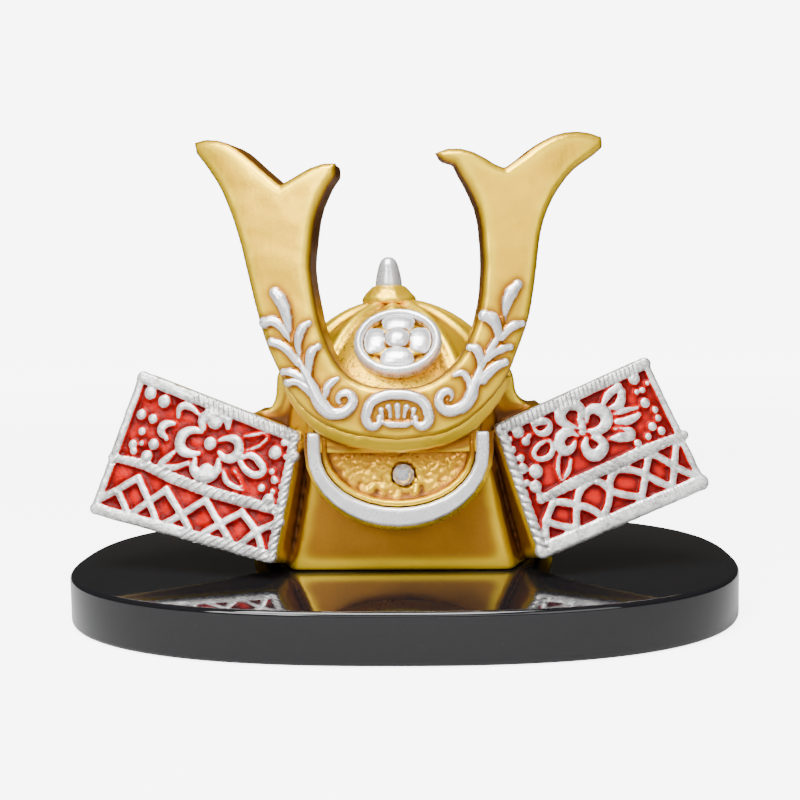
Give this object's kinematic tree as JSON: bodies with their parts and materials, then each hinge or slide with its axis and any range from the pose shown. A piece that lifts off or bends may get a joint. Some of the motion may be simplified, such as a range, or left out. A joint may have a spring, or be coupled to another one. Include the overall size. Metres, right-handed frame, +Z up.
{
  "type": "ceramic kabuto helmet ornament on an oval stand",
  "caption": "Small ceramic samurai helmet with a tall swallow-tailed crest, side wings and a visor, painted gold, silver and red, on a black oval stand.",
  "frame": {"origin": "centre of the stand's underside", "axes": "+X to the viewer's right along the stand's long side, +Y away from the viewer, +Z up"},
  "size_m": [0.2, 0.136, 0.1385],
  "materials": {
    "gold_paint": "satin gold paint on ceramic",
    "gold_shade": "darker antiqued gold paint on ceramic",
    "silver_paint": "satin silver paint on ceramic",
    "red_enamel": "glossy red glaze",
    "clear_stone": "faceted clear glass with a mirrored back",
    "black_lacquer": "black high-gloss lacquer"
  },
  "bodies": {
    "root": {"stand": "black_lacquer", "helmet_bowl": "gold_paint", "crown_collar": "gold_paint", "crown_finial": "silver_paint", "medallion_ring": "silver_paint", "medallion_ground": "gold_paint", "medallion_flower": "silver_paint", "crest": "gold_paint", "sprig_left": "silver_paint", "sprig_right": "silver_paint", "palmette_arch": "silver_paint", "palmette_fan": "silver_paint", "brow_band": "gold_shade", "face_block": "gold_shade", "neck_guard": "gold_shade", "visor": "gold_paint", "visor_rim": "silver_paint", "visor_stone": "clear_stone", "wing_left": "gold_shade", "wing_frame_left": "silver_paint", "wing_panel_left": "red_enamel", "wing_flower_left": "silver_paint", "wing_blossom_left_1": "silver_paint", "wing_blossom_left_2": "silver_paint", "wing_blossom_left_3": "silver_paint", "wing_blossom_left_4": "silver_paint", "wing_right": "gold_shade", "wing_frame_right": "silver_paint", "wing_panel_right": "red_enamel", "wing_flower_right": "silver_paint", "wing_blossom_right_1": "silver_paint", "wing_blossom_right_2": "silver_paint", "wing_blossom_right_3": "silver_paint", "wing_blossom_right_4": "silver_paint", "wing_blossom_right_5": "silver_paint"}
  },
  "joints": []
}
